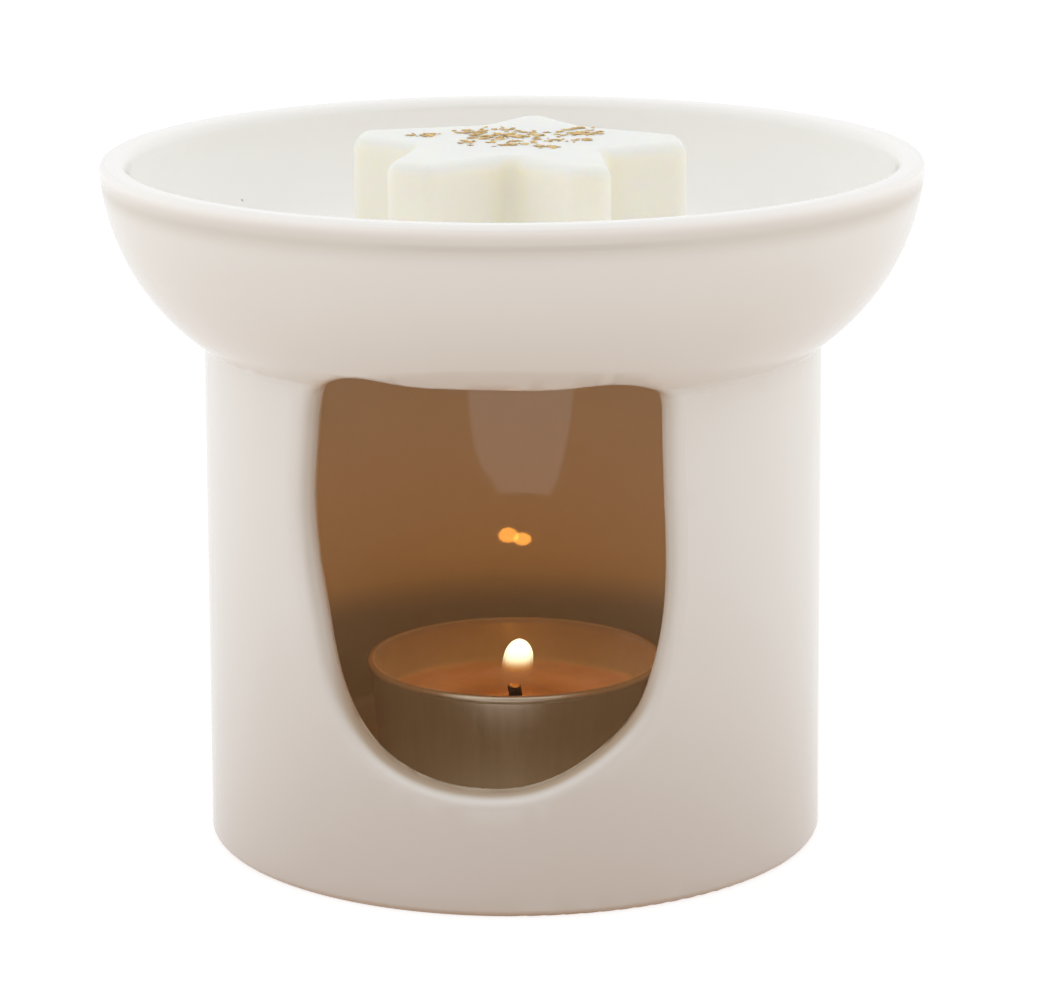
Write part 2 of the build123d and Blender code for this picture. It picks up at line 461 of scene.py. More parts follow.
def turned_rim(places, normals):
    """Brings the rim's points onto its turned outline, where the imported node's corners mark it."""
    corners = coordinates(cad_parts["warmer_body"].data)
    start = body_high.z - rim_zone
    corners = corners[corners[:, 2] > start]
    outline = np.stack([np.hypot(corners[:, 0], corners[:, 1]), corners[:, 2]], axis=1)
    marks, count = np.unique(np.round(outline, rim_mark_decimals), axis=0, return_counts=True)
    marks = marks[count > rim_mark_count]
    if len(marks) < 2:
        return places, normals
    turn = np.arctan2(marks[:, 1] - marks[:, 1].min(), marks[:, 0] - marks[:, 0].mean())
    line = marks[np.argsort(turn)]
    runs = line[1:] - line[:-1]
    way = unit(runs)
    way = unit(np.vstack([way[:1], way[1:] + way[:-1], way[-1:]]))
    facing = np.stack([way[:, 1], -way[:, 0]], axis=1)
    near = np.where(places[:, 2] > start)[0]
    reach = np.hypot(places[near, 0], places[near, 1])
    flat = np.stack([reach, places[near, 2]], axis=1)
    share = np.einsum("ijk,jk->ij", flat[:, None] - line[:-1], runs) / np.sum(runs**2, axis=1)
    share = np.clip(share, 0, 1)
    feet = line[:-1] + share[:, :, None] * runs
    nearest = np.argmin(np.sum((feet - flat[:, None]) ** 2, axis=2), axis=1)
    rows = np.arange(len(near))
    foot = feet[rows, nearest]
    part = share[rows, nearest][:, None]
    lean = unit(facing[nearest] * (1 - part) + facing[nearest + 1] * part)
    away = places[near, :2] / reach[:, None]
    hold = smooth(start, start + rim_zone / 4, places[near, 2])[:, None]
    turned = np.column_stack([away * foot[:, :1], foot[:, 1]])
    leaning = np.column_stack([away * lean[:, :1], lean[:, 1]])
    places[near] += (turned - places[near]) * hold
    normals[near] = unit(normals[near] + (leaning - normals[near]) * hold)
    return places, normals


def dressed_node(node, longest, wave_lengths, wave_depth, seed, flat_below, turned=None):
    """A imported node's surface, finely cut and slightly uneven, which keeps how sharply it bends as edge."""
    mesh = finely_cut(node, longest)
    places, normals = CadSurface(node).nearest(coordinates(mesh))
    set_coordinates(mesh, places)
    plain = face_normals(mesh)
    trusted = np.sum(plain * normals, axis=1, keepdims=True) > trusted_share
    normals = np.where(trusted, normals, plain)
    if turned:
        places, normals = turned(places, normals)
    write_attribute(mesh, "edge", np.clip(curvature(mesh, places, normals) * edge_radius, -1, 1))
    height, slope = soft_waves(places, normals, wave_lengths, seed)
    hold = smooth(0, flat_below, places[:, 2] - places[:, 2].min()) * wave_depth
    height *= hold
    slope *= hold[:, None]
    places -= normals * height[:, None]
    set_coordinates(mesh, np.clip(places, *cad_bounds))
    normals = unit(normals + slope)
    mesh.shade_smooth()
    mesh.normals_split_custom_set_from_vertices([tuple(normal) for normal in normals])
    return mesh


def ringed_mesh(name, rings):
    """A closed skin over rings of points, from the first to the last."""
    count = len(rings[0])
    points = [tuple(point) for ring in rings for point in ring]
    faces = []
    for level in range(len(rings) - 1):
        for place in range(count):
            near = level * count + place
            beside = level * count + (place + 1) % count
            faces.append((near, beside, beside + count, near + count))
    faces.append(tuple(reversed(range(count))))
    faces.append(tuple(range(len(points) - count, len(points))))
    mesh = bpy.data.meshes.new(name)
    mesh.from_pydata(points, [], faces)
    mesh.validate()
    return mesh


def spline_value(before, start, end, after, share):
    """One coordinate on a Catmull-Rom span, a share of the way along it."""
    bend = 2 * before - 5 * start + 4 * end - after
    twist = 3 * start - before - 3 * end + after
    return 0.5 * (2 * start + (end - before) * share + bend * share**2 + twist * share**3)


def rounded_line(points, steps):
    """A smooth line through points, Catmull-Rom, with a number of steps in each span."""
    held = [points[0], *points, points[-1]]
    line = []
    for before, start, end, after in zip(held, held[1:], held[2:], held[3:]):
        for step in range(steps):
            span = zip(before, start, end, after)
            line.append(tuple(spline_value(*values, step / steps) for values in span))
    return [*line, tuple(points[-1])]


# Node trees


def add_node(tree, kind, **settings):
    """A shader node with its settings."""
    made = tree.nodes.new(kind)
    for name, value in settings.items():
        setattr(made, name, value)
    return made


def set_inputs(shader, **values):
    """Writes constants on a shader's own sockets, whose names have _ for spaces."""
    for name, value in values.items():
        shader.inputs[name.replace("_", " ")].default_value = value


def new_material(name, **values):
    """A material with its Principled shader's constants set."""
    made = bpy.data.materials.new(name)
    made.use_nodes = True
    shader = made.node_tree.nodes["Principled BSDF"]
    set_inputs(shader, **values)
    return made, made.node_tree, shader


def object_place(tree):
    """The place on the piece, metres."""
    return add_node(tree, "ShaderNodeTexCoord").outputs["Object"]


def clouds(tree, place, feature, detail=3.0, stretch=None):
    """Noise from 0 to 1, whose features are about as large as said."""
    if stretch:
        scaled = add_node(tree, "ShaderNodeVectorMath", operation="MULTIPLY")
        scaled.inputs[1].default_value = stretch
        tree.links.new(place, scaled.inputs[0])
        place = scaled.outputs[0]
    made = add_node(tree, "ShaderNodeTexNoise")
    made.inputs["Scale"].default_value = 1 / feature
    made.inputs["Detail"].default_value = detail
    made.inputs["Roughness"].default_value = 0.5
    tree.links.new(place, made.inputs["Vector"])
    return made.outputs["Fac"]


def ranged(tree, value, low, high, to_low=0.0, to_high=1.0):
    """Brings a value from one range to another, with a soft step."""
    made = add_node(tree, "ShaderNodeMapRange", interpolation_type="SMOOTHSTEP")
    for name, number in (("From Min", low), ("From Max", high), ("To Min", to_low), ("To Max", to_high)):
        made.inputs[name].default_value = number
    tree.links.new(value, made.inputs["Value"])
    return made.outputs["Result"]


def strong(tree, noise, low=0.0, high=1.0):
    """Noise whose middle range is spread from one value to another."""
    return ranged(tree, noise, cloud_low_share, cloud_high_share, low, high)


def patches(tree, place, feature, low=0.0, high=1.0):
    """Patches of noise from one value to another, whose size is about as said."""
    return strong(tree, clouds(tree, place, feature), low, high)


def combined(tree, operation, first, second):
    """Sum, product or such of two values, each a number or a socket."""
    made = add_node(tree, "ShaderNodeMath", operation=operation)
    for place, value in enumerate((first, second)):
        if isinstance(value, (int, float)):
            made.inputs[place].default_value = value
        else:
            tree.links.new(value, made.inputs[place])
    return made.outputs[0]


def blended(tree, share, first, second):
    """Mixes two colours, each a colour or a socket, by a share."""
    made = add_node(tree, "ShaderNodeMix", data_type="RGBA")
    tree.links.new(share, made.inputs[0])
    for place, value in ((6, first), (7, second)):
        if isinstance(value, tuple):
            made.inputs[place].default_value = value
        else:
            tree.links.new(value, made.inputs[place])
    return made.outputs[2]


def height_of(tree, place):
    """The height on the piece, metres."""
    made = add_node(tree, "ShaderNodeSeparateXYZ")
    tree.links.new(place, made.inputs[0])
    return made.outputs["Z"]


def bumped(tree, shader, height, depth=1.0):
    """Lets a height tilt the shading. It is in metres, or from 0 to 1 with a depth in metres."""
    made = add_node(tree, "ShaderNodeBump")
    made.inputs["Strength"].default_value = 1.0
    made.inputs["Distance"].default_value = depth
    tree.links.new(height, made.inputs["Height"])
    tree.links.new(made.outputs["Normal"], shader.inputs["Normal"])


def read_attribute(tree, name):
    """A number that the mesh keeps for each point."""
    return add_node(tree, "ShaderNodeAttribute", attribute_name=name).outputs["Fac"]


def bell(tree, value, middle, reach):
    """1 where a value is at its middle, and softly 0 beyond its reach."""
    away = combined(tree, "DIVIDE", combined(tree, "SUBTRACT", value, middle), reach)
    square = combined(tree, "MULTIPLY", combined(tree, "MULTIPLY", away, away), -1.0)
    return combined(tree, "POWER", math.e, square)


def axis_reach(tree, place):
    """The distance from the warmer's axis, metres, and the direction away from it."""
    flat = add_node(tree, "ShaderNodeVectorMath", operation="MULTIPLY")
    flat.inputs[1].default_value = (1.0, 1.0, 0.0)
    tree.links.new(place, flat.inputs[0])
    size = add_node(tree, "ShaderNodeVectorMath", operation="LENGTH")
    tree.links.new(flat.outputs[0], size.inputs[0])
    way = add_node(tree, "ShaderNodeVectorMath", operation="NORMALIZE")
    tree.links.new(flat.outputs[0], way.inputs[0])
    return size.outputs["Value"], way.outputs[0]


def painted(tree, shader, colour, roughness):
    """Gives the shader its colour and its roughness."""
    tree.links.new(colour, shader.inputs["Base Color"])
    tree.links.new(roughness, shader.inputs["Roughness"])


# Materials


def bowl_share(tree, away, height):
    """1 on the bowl's inside and on the rim's top, and 0 elsewhere."""
    normal = add_node(tree, "ShaderNodeTexCoord").outputs["Normal"]
    outward = add_node(tree, "ShaderNodeVectorMath", operation="DOT_PRODUCT")
    tree.links.new(normal, outward.inputs[0])
    tree.links.new(away, outward.inputs[1])
    upward = combined(tree, "SUBTRACT", height_of(tree, normal), outward.outputs["Value"])
    floor = melt_low.z - wall_thickness / 4
    facing = ranged(tree, upward, *bowl_tilt_shares)
    return combined(tree, "MULTIPLY", facing, ranged(tree, height, floor, melt_low.z))


def chamber_shares(tree, reach, height):
    """Where shade is painted: 1 on the chamber's wall, and 1 on the opening's cut edges, which are weaker
    further up.
    """
    neck = (body_high.x - body_low.x) / 2 * neck_share
    low = cup_low.z - wall_thickness / 2
    high = melt_low.z - wall_thickness / 2
    between = combined(
        tree,
        "MULTIPLY",
        ranged(tree, height, low, low + wall_thickness / 8),
        ranged(tree, height, high, high + wall_thickness / 8, 1.0, 0.0),
    )
    inside = ranged(tree, reach, neck - wall_thickness, neck - wall_thickness / 2, 1.0, 0.0)
    cut = combined(
        tree,
        "MULTIPLY",
        ranged(tree, reach, neck - wall_thickness / 4, neck, 1.0, 0.0),
        ranged(tree, height, cup_high.z, cup_high.z * 1.5, 1.0, cut_edge_painted_shade_upper_share),
    )
    return combined(tree, "MULTIPLY", inside, between), combined(tree, "MULTIPLY", cut, between)


def lip_band(tree, height, outside, below_rim, reach):
    """1 on a band round the lip's outside, and softly 0 away from it."""
    return combined(tree, "MULTIPLY", bell(tree, height, body_high.z - below_rim, reach), outside)


def iron_specks(tree, place):
    """Small dark specks, far apart."""
    specks = add_node(tree, "ShaderNodeTexVoronoi")
    specks.inputs["Scale"].default_value = 1 / speck_spacing
    tree.links.new(place, specks.inputs["Vector"])
    away = specks.outputs["Distance"]
    return ranged(tree, away, speck_core_share, speck_edge_share, speck_strength_share, 0.0)


def glaze_surface(tree, place, groove):
    """The height of the glaze in metres: soft waves, and a groove under the lip."""
    waves = combined(tree, "MULTIPLY", clouds(tree, place, glaze_wave_length, 2.0), glaze_wave_depth)
    return combined(tree, "SUBTRACT", waves, combined(tree, "MULTIPLY", groove, lip_groove_depth))


def glaze_material():
    """Warm white glaze: clouded, with a few iron specks, and bare on the foot; with painted shade under the
    lip, on the cut edges and in the chamber, a painted highlight on the lip, and painted light in the bowl.
    """
    made, tree, shader = new_material("glaze", IOR=glaze_refraction)
    place = object_place(tree)
    height = height_of(tree, place)
    reach, away = axis_reach(tree, place)
    inside, cut = chamber_shares(tree, reach, height)
    bowl = bowl_share(tree, away, height)
    outside = combined(tree, "SUBTRACT", 1.0, bowl)
    bare = ranged(tree, height, bare_low, bare_high, 1.0, 0.0)
    colour = blended(tree, patches(tree, place, glaze_cloud_size), glaze_pale_colour, glaze_deep_colour)
    for share, tint in (
        # painted shade under the lip, then a painted highlight on it
        (lip_band(tree, height, outside, lip_painted_shade_below_rim, lip_painted_shade_reach), lip_painted_shade_colour),
        (lip_band(tree, height, outside, lip_painted_highlight_below_rim, lip_painted_highlight_reach), lip_painted_highlight_colour),
        # painted light in the bowl and on the rim's top
        (bowl, bowl_painted_light_colour),
        # painted shade on the opening's cut edges
        (cut, cut_edge_painted_shade_colour),
        # painted shade on the chamber's wall
        (inside, chamber_painted_shade_colour),
        (iron_specks(tree, place), speck_colour),
        (bare, bare_colour),
    ):
        colour = blended(tree, share, colour, tint)
    rough = add_node(tree, "ShaderNodeMix")
    tree.links.new(bare, rough.inputs[0])
    tree.links.new(patches(tree, place, glaze_gloss_size, *glaze_roughness), rough.inputs[2])
    rough.inputs[3].default_value = bare_roughness
    painted(tree, shader, colour, rough.outputs[0])
    groove = lip_band(tree, height, outside, lip_groove_below_rim, lip_groove_reach)
    bumped(tree, shader, glaze_surface(tree, place, groove))
    return made


def melt_material():
    """Ivory wax with faint cloudiness, and with painted light: cooler on top and yellower down its sides, and
    painted shade in the creases between its points.
    """
    made, tree, shader = new_material(
        "melt_wax",
        IOR=wax_refraction,
        Subsurface_Weight=0.6,
        Subsurface_Radius=(1.0, 0.75, 0.4),
        Subsurface_Scale=melt_glow_reach,
    )
    place = object_place(tree)
    # Painted light: cooler on top, yellower lower down and on the sides
    drop = ranged(tree, height_of(tree, place), melt_low.z, melt_high.z, 1.0, 0.0)
    cloud = combined(tree, "SUBTRACT", clouds(tree, place, melt_cloud_size), 0.5)
    share = combined(tree, "ADD", drop, combined(tree, "MULTIPLY", cloud, 0.5))
    # Painted shade in the creases between the points
    painted_hollow_shade = ranged(tree, read_attribute(tree, "painted_hollow_shade"), 0.0, 0.25, 0.0, melt_hollow_painted_shade_share)
    colour = blended(tree, share, melt_top_painted_light_colour, melt_low_painted_light_colour)
    colour = blended(tree, read_attribute(tree, "painted_side_light"), colour, melt_side_painted_light_colour)
    colour = blended(tree, painted_hollow_shade, colour, melt_hollow_painted_shade_colour)
    painted(tree, shader, colour, patches(tree, place, melt_gloss_size, *melt_roughness))
    bumped(tree, shader, clouds(tree, place, melt_grain_size), melt_grain_depth)
    return made


def gold_material():
    """Crumpled gold leaf."""
    made, tree, shader = new_material("gold_leaf", Metallic=0.35)
    place = object_place(tree)
    colour = blended(tree, patches(tree, place, leaf_cloud_size), leaf_bright_colour, leaf_dark_colour)
    painted(tree, shader, colour, patches(tree, place, leaf_gloss_size, *leaf_roughness))
    return made


def cup_material():
    """Drawn aluminium with fine upright streaks, tinted warm as a painted reflection of the candle-lit
    chamber.
    """
    made, tree, shader = new_material("cup_foil", Metallic=1.0)
    streaks = clouds(tree, object_place(tree), cup_streak_size, 2.0, cup_streak_shares)
    colour = blended(tree, strong(tree, streaks), cup_dark_streak_painted_reflection_colour, cup_pale_streak_painted_reflection_colour)
    painted(tree, shader, colour, strong(tree, streaks, *cup_roughness))
    bumped(tree, shader, streaks, cup_streak_depth)
    return made


def candle_wax_material():
    """Half-molten translucent wax, with painted shade that darkens it near the wick."""
    made, tree, shader = new_material(
        "candle_wax",
        IOR=wax_refraction,
        Subsurface_Weight=0.7,
        Subsurface_Radius=(1.0, 0.5, 0.25),
        Subsurface_Scale=wax_glow_reach,
    )
    place = object_place(tree)
    middle = add_node(tree, "ShaderNodeVectorMath", operation="DISTANCE")
    middle.inputs[1].default_value = (0.0, 0.0, wax_high.z)
    tree.links.new(place, middle.inputs[0])
    # Painted shade, darkest near the wick
    pool = ranged(tree, middle.outputs["Value"], wax_painted_shade_low, wax_painted_shade_high, 1.0, 0.0)
    colour = blended(tree, patches(tree, place, wax_cloud_size), wax_pale_colour, wax_deep_colour)
    colour = blended(tree, pool, colour, wax_painted_shade_colour)
    painted(tree, shader, colour, patches(tree, place, wax_gloss_size, *wax_roughness))
    bumped(tree, shader, clouds(tree, place, wax_grain_size), wax_grain_depth)
    return made


def wick_material():
    """Charred cotton, with an ember's dark red at the tip."""
    made, tree, shader = new_material("wick_cotton")
    place = object_place(tree)
    height = height_of(tree, place)
    tip = ranged(tree, height, wick_high.z - wick_tip_height, wick_high.z, 0.0, wick_tip_share)
    colour = blended(tree, patches(tree, place, wick_cloud_size), wick_black_colour, wick_grey_colour)
    colour = blended(tree, tip, colour, wick_tip_colour)
    painted(tree, shader, colour, patches(tree, place, wick_grain_size, *wick_roughness))
    bumped(tree, shader, clouds(tree, place, wick_grain_size), wick_grain_depth)
    return made


def steel_material():
    """Tinned steel of the disc under the wick."""
    made, tree, shader = new_material("tinned_steel", Metallic=1.0)
    place = object_place(tree)
    colour = blended(tree, patches(tree, place, steel_cloud_size), steel_dark_colour, steel_pale_colour)
    painted(tree, shader, colour, patches(tree, place, steel_gloss_size, *steel_roughness))
    return made


def flame_material():
    """Glow that is yellow-white in the middle and orange and clearer at its foot."""
    made = bpy.data.materials.new("flame")
    made.use_nodes = True
    tree = made.node_tree
    tree.nodes.clear()
    height = height_of(tree, object_place(tree))
    low, high = (flame_low + (flame_high - flame_low) * share for share in flame_rise_shares)
    rise = ranged(tree, height, low, high)
    warm = blended(tree, ranged(tree, rise, *flame_warm_shares), flame_foot_colour, flame_warm_colour)
    colour = blended(tree, ranged(tree, rise, *flame_hot_shares), warm, flame_hot_colour)
    level = combined(tree, "ADD", combined(tree, "MULTIPLY", rise, flame_added_level), flame_foot_level)
    glow = add_node(tree, "ShaderNodeEmission")
    tree.links.new(colour, glow.inputs["Color"])
    tree.links.new(level, glow.inputs["Strength"])
    clear = add_node(tree, "ShaderNodeBsdfTransparent")
    mix = add_node(tree, "ShaderNodeMixShader")
    dense = combined(tree, "MULTIPLY", combined(tree, "POWER", rise, 1.5), flame_dense_share)
    tree.links.new(combined(tree, "ADD", dense, flame_veil_share), mix.inputs[0])
    tree.links.new(clear.outputs[0], mix.inputs[1])
    tree.links.new(glow.outputs[0], mix.inputs[2])
    out = add_node(tree, "ShaderNodeOutputMaterial")
    tree.links.new(mix.outputs[0], out.inputs["Surface"])
    return made


# Pieces


def dress_body(material):
    """The glazed casting."""
    mesh = dressed_node(
        "warmer_body",
        body_longest_edge,
        body_wave_lengths,
        body_wave_depth,
        body_seed,
        foot_flat_height,
        turned_rim,
    )
    piece = new_piece("glazed_body", mesh, material)
    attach(piece, "body")
    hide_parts("warmer_body")
    return piece


def dress_packed(node, material):
    """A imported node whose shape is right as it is, with a better material."""
    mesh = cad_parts[node].data
    mesh.materials.clear()
    mesh.materials.append(material)


def hollow_places(mesh):
    """1 in the creases between the star's points."""
    kept = np.zeros(len(mesh.vertices))
    mesh.attributes["edge"].data.foreach_get("value", kept)
    return np.clip(-kept * 2, 0, 1)


def dress_melt(material):
    """The star of wax."""
    mesh = dressed_node(
        "wax_melt", melt_longest_edge, melt_wave_lengths, melt_wave_depth, melt_seed, melt_wave_depth
    )
    # Painted light on the sides, kept for the material
    painted_side_light = 1 - np.abs(face_normals(mesh)[:, 2])
    write_attribute(mesh, "painted_side_light", smooth(0.3, 1.0, spread_out(mesh, painted_side_light, melt_soft_rounds // 4)))
    # Painted shade in the creases, kept for the material
    write_attribute(mesh, "painted_hollow_shade", spread_out(mesh, hollow_places(mesh), melt_soft_rounds))
    piece = new_piece("wax_star", mesh, material)
    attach(piece, "melt")
    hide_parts("wax_melt")
    return piece


def packed_flecks():
    """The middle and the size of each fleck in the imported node."""
    work = bmesh.new()
    work.from_mesh(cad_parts["gold_flakes"].data)
    bmesh.ops.remove_doubles(work, verts=work.verts, dist=weld_reach)
    waiting = set(work.verts)
    flecks = []
    for start in list(work.verts):
        if start not in waiting:
            continue
        waiting.discard(start)
        group = [start]
        for vertex in group:
            for edge in vertex.link_edges:
                other = edge.other_vert(vertex)
                if other in waiting:
                    waiting.discard(other)
                    group.append(other)
        places = np.array([vertex.co[:] for vertex in group])
        flecks.append((places.mean(axis=0), np.ptp(places[:, 0])))
    work.free()
    return sorted(flecks, key=lambda fleck: tuple(fleck[0]))


def leaf_bit(chance, middle, reach):
    """One crumpled scrap of leaf: its points and faces."""
    turns = (np.arange(leaf_corners) + chance.uniform(-0.35, 0.35, leaf_corners)) * 2 * math.pi / leaf_corners
    ragged = reach * chance.uniform(0.45, 1.0, leaf_corners)
    stretch = chance.uniform(0.45, 1.0)
    lean = chance.uniform(0, math.pi)
    points = [np.zeros(2)]
    for share in (0.5, 1.0):
        across = ragged * share * np.cos(turns)
        along = ragged * share * np.sin(turns) * stretch
        points += [
            np.array([x * math.cos(lean) - y * math.sin(lean), x * math.sin(lean) + y * math.cos(lean)])
            for x, y in zip(across, along)
        ]
    crumple = chance.uniform(0, leaf_crumple, len(points))
    base = middle[2] + leaf_thickness
    top = [(middle[0] + flat[0], middle[1] + flat[1], base + up) for flat, up in zip(points, crumple)]
    top = [(x, y, min(z, flakes_high.z)) for x, y, z in top]
    low = [(x, y, z - leaf_thickness) for x, y, z in top]
    count = len(top)
    faces = []
    for corner in range(leaf_corners):
        after = (corner + 1) % leaf_corners
        inner, inner_after = 1 + corner, 1 + after
        outer, outer_after = inner + leaf_corners, inner_after + leaf_corners
        faces += [(0, inner, inner_after), (inner, outer, outer_after, inner_after)]
        faces += [(count, count + inner_after, count + inner)]
        faces += [(count + inner, count + inner_after, count + outer_after, count + outer)]
        faces += [(outer, count + outer, count + outer_after, outer_after)]
    return top + low, faces


def dress_leaf(material, star):
    """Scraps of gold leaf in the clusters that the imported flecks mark."""
    chance = np.random.default_rng(leaf_seed)
    top = BVHTree.FromObject(star, bpy.context.evaluated_depsgraph_get())
    points = []
    faces = []
    for middle, size in packed_flecks():
        for _ in range(max(2, round(size * leaf_bits_for_size))):
            spread = chance.normal(size=2) * size * leaf_spread_share / 2
            start = Vector((middle[0] + spread[0], middle[1] + spread[1], flakes_high.z + wall_thickness))
            hit, normal, _, _ = top.ray_cast(start, Vector((0, 0, -1)))
            growth = leaf_least_share + size / leaf_fleck_width
            reach = chance.uniform(leaf_reach_low, leaf_reach_high) * growth
            if hit is None or normal.z < leaf_level_share:
                continue
            bit_points, bit_faces = leaf_bit(chance, hit, reach)
            faces += [tuple(len(points) + corner for corner in face) for face in bit_faces]
            points += bit_points
    mesh = bpy.data.meshes.new("leaf_scraps")
    mesh.from_pydata(points, [], faces)
    piece = new_piece("leaf_scraps", mesh, material)
    mesh.shade_flat()
    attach(piece, "melt")
    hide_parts("gold_flakes")
    return piece


def cup_mesh():
    """The drawn cup, turned from its outline, with fine upright creases in its wall."""
    rim = (cup_high.x - cup_low.x) / 2
    base = rim * cup_base_share
    shoulder = rim - cup_bead_width
    low = cup_low.z
    top = cup_high.z
    bead = top - cup_bead_height
    middle_bead = (bead + top) / 2
    outline = [
        (base * 0.02, low + cup_wall),
        (base * 0.70, low + cup_wall),
        (base * 0.80, low + cup_wall),
        (base * 0.86, low),
        (base * 0.95, low),
        (base * 0.995, low + cup_wall * 2),
        (base * 1.004, low + cup_wall * 6),
        (base + (shoulder - base) * 0.5, (low + bead) / 2),
        (shoulder, bead - cup_wall * 2),
        (shoulder + cup_bead_width * 0.1, bead),
        (rim - cup_bead_width * 0.25, bead + cup_wall * 0.4),
        (rim, middle_bead),
        (rim - cup_bead_width * 0.35, top - cup_wall * 0.4),
        (shoulder - cup_wall * 0.2, top),
        (shoulder - cup_wall, top - cup_wall),
        (shoulder - cup_wall, bead),
        (base + (shoulder - base) * 0.5 - cup_wall, (low + bead) / 2),
        (base * 0.985 - cup_wall, low + cup_wall * 6),
        (base * 0.95 - cup_wall, low + cup_wall * 2),
        (base * 0.80, low + cup_wall * 2),
        (base * 0.02, low + cup_wall * 2),
    ]
    chance = np.random.default_rng(cup_seed)
    turns = np.arange(cup_segments) * 2 * math.pi / cup_segments
    lines = sum(
        chance.normal() * np.sin(count * turns + chance.uniform(0, 2 * math.pi))
        for count in range(7, cup_line_count, 5)
    )
    lines = lines / np.abs(lines).max() * cup_line_depth
    rings = []
    for across, up in rounded_line(outline, line_steps):
        hold = smooth(low, low + cup_wall * 8, up) * (1 - smooth(bead - cup_wall, bead + cup_wall, up))
        reach = across + lines * hold
        height = np.full(cup_segments, up)
        rings.append(np.stack([reach * np.cos(turns), reach * np.sin(turns), height], axis=1))
    return ringed_mesh("foil_cup", rings)


def dress_cup(material):
    """The tealight's cup."""
    piece = new_piece("foil_cup", cup_mesh(), material)
    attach(piece, "tealight")
    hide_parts("tealight_cup")
    return piece


def wax_mesh():
    """The candle's wax, drawn up against its wick, and as a thin film left on the cup's wall."""
    inner = (wick_high.x - wick_low.x) / 2
    top = wax_high.z
    low = wax_low.z
    rim = (cup_high.x - cup_low.x) / 2
    base = rim * cup_base_share
    lean = (rim - cup_bead_width - base) / (cup_high.z - cup_low.z)
    film_top = cup_high.z - wax_film_below_rim

    def wall(up):
        """The reach of the cup's inside at a height, metres."""
        return base + lean * (up - cup_low.z) - cup_wall - wax_film_thickness / 6

    outer = wall(top) - wax_film_thickness
    drawn_up = np.linspace(inner, inner + wax_wick_reach, 8)
    reaches = np.concatenate([drawn_up, np.linspace(inner * 3, outer, 48)])
    rise = (
        wax_wick_rise * np.exp(-(reaches - inner) / (wax_wick_reach / 3))
        + wax_edge_rise * np.exp(-(outer - reaches) / (wax_edge_reach / 3))
        - wax_dish * (1 - (reaches / outer) ** 2)
    )
    pool = [(reach, top + up) for reach, up in zip(reaches, rise)]
    heights = np.linspace(top + wax_edge_rise * 1.5, film_top, 8)
    film = [(wall(up) - wax_film_thickness * (1 - 0.6 * place / 7), up) for place, up in enumerate(heights)]
    film += [(wall(up), up) for up in (film_top, (film_top + top) / 2, top, (top + low) / 2)]
    foot = [(base - cup_wall, low + cup_wall), (base - 2 * cup_wall, low), (inner, low)]
    turns = np.arange(wax_segments) * 2 * math.pi / wax_segments
    rings = []
    for across, up in pool + film + foot:
        sway = wax_dish * 0.25 * (np.sin(2 * turns + 1.1) + 0.6 * np.sin(3 * turns + 0.4)) * (across / outer)
        runs = np.sin(5 * turns) + 0.7 * np.sin(9 * turns + 2.0)
        drawn = wax_film_sway * runs * smooth(top, film_top, up)
        lift = sway * (top - wax_dish * 2 <= up < top + wax_edge_rise) + drawn
        rings.append(np.stack([across * np.cos(turns), across * np.sin(turns), up + lift], axis=1))
    return ringed_mesh("candle_wax", rings[::-1])


def dress_wax(material):
    """The wax in the cup."""
    piece = new_piece("candle_wax", wax_mesh(), material)
    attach(piece, "tealight")
    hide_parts("tealight_wax")
    return piece


def wick_mesh():
    """A braided wick whose charred end is split into two lobes."""
    radius = (wick_high.x - wick_low.x) / 2
    turns = np.arange(wick_segments) * 2 * math.pi / wick_segments
    rings = []
    for level in range(wick_rings + wick_lobe_rings):
        share = min(level / wick_rings, 1.0)
        up = wick_low.z + (wick_high.z - wick_lobe_height - wick_low.z) * share
        twist = up / wick_braid_turn * 2 * math.pi
        strands = np.abs(np.sin(1.5 * turns + twist)) + np.abs(np.sin(1.5 * turns - twist))
        braid = wick_braid_depth * (strands - 1)
        shrink = max(0, level - wick_rings) / wick_lobe_rings
        reach = (radius - wick_braid_depth + braid) * math.cos(shrink * math.pi / 2 * 0.98)
        lobes = 0.5 + 0.5 * np.cos(2 * turns)
        rise = 0.35 + 0.65 * lobes * (reach / radius) ** 0.5
        lift = wick_lobe_height * math.sin(shrink * math.pi / 2) * rise
        rings.append(np.stack([reach * np.cos(turns), reach * np.sin(turns), up + lift], axis=1))
    return ringed_mesh("charred_wick", rings)


def dress_wick(material):
    """The wick."""
    piece = new_piece("charred_wick", wick_mesh(), material)
    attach(piece, "tealight")
    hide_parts("wick")
    return piece


def flame_mesh():
    """Nested shells of a small still flame, round-topped, with a faint mantle about the wick."""
    turns = np.arange(flame_segments) * 2 * math.pi / flame_segments
    points = []
    faces = []
    for shell in flame_shell_shares:
        rings = []
        for share, width in rounded_line(flame_line_shares, line_steps):
            reach = max(flame_half_width * shell * width, weld_reach)
            middle = (flame_low + flame_high * 2) / 3
            up = middle + (flame_low + (flame_high - flame_low) * share - middle) * (0.4 + 0.6 * shell)
            lean = flame_lean * smooth(flame_low, flame_high, up)
            across = lean + reach * np.cos(turns)
            rings.append(np.stack([across, reach * np.sin(turns), np.full(len(turns), up)], axis=1))
        mesh = ringed_mesh("shell", rings)
        faces += [tuple(len(points) + corner for corner in face.vertices) for face in mesh.polygons]
        points += [tuple(vertex.co) for vertex in mesh.vertices]
        bpy.data.meshes.remove(mesh)
    made = bpy.data.meshes.new("flame")
    made.from_pydata(points, [], faces)
    return made


